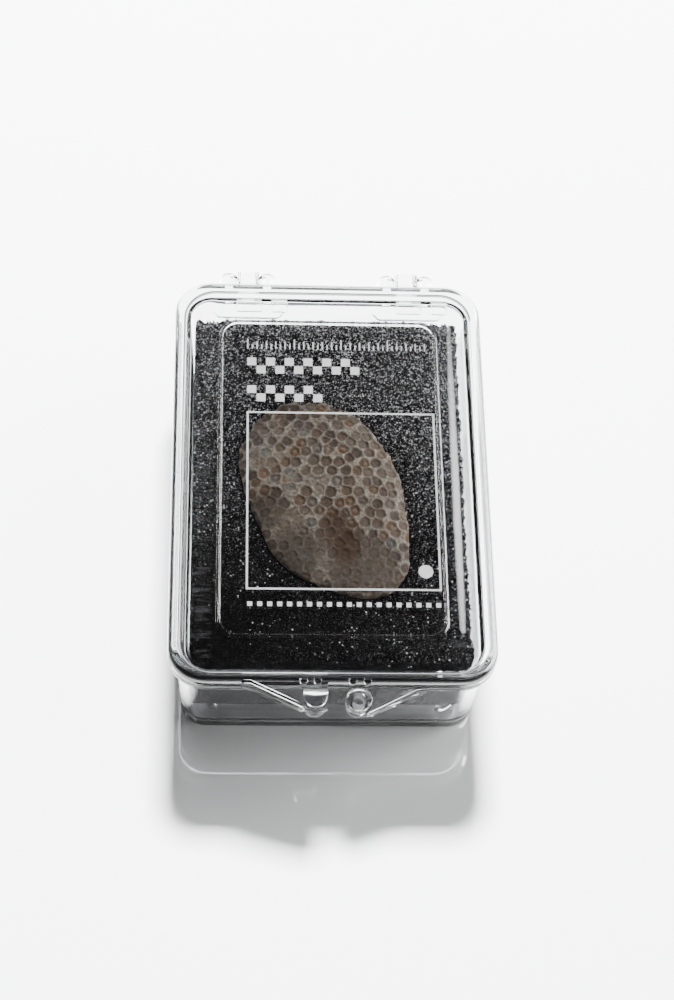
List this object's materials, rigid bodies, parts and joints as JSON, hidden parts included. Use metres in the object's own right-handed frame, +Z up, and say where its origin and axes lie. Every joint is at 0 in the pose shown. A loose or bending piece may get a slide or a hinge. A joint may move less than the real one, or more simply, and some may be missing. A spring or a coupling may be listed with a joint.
{
  "type": "fossil bryozoan in a specimen box",
  "caption": "Domed brown-grey fossil bryozoan bedded in black foam inside a small clear box with a sunk-panel lid, ball-knuckle hinge and front latch tabs.",
  "frame": {"origin": "middle of the box on the table, midway between the latch tips and the hinge knuckles", "axes": "+Z up, +Y from the latch at the front to the hinge at the back, +X to the right seen from the front"},
  "size_m": [0.033, 0.0518, 0.0153],
  "materials": {
    "clear_polystyrene": "clear moulded polystyrene, smooth and glossy",
    "black_foam": "black open-cell foam, cut faces",
    "bryozoan_stone": "weathered fossil, brown-grey with pale cell walls"
  },
  "bodies": {
    "base": {"box_base": "clear_polystyrene", "foam_pad": "black_foam", "bryozoan_fossil": "bryozoan_stone"},
    "lid": {"box_lid": "clear_polystyrene"}
  },
  "joints": [
    {"name": "lid_hinge", "type": "hinge", "parent": "base", "child": "lid", "pos_m": [0, 0.0248, 0.01305], "axis": [-1, 0, 0], "range_deg": [0, 175]}
  ]
}
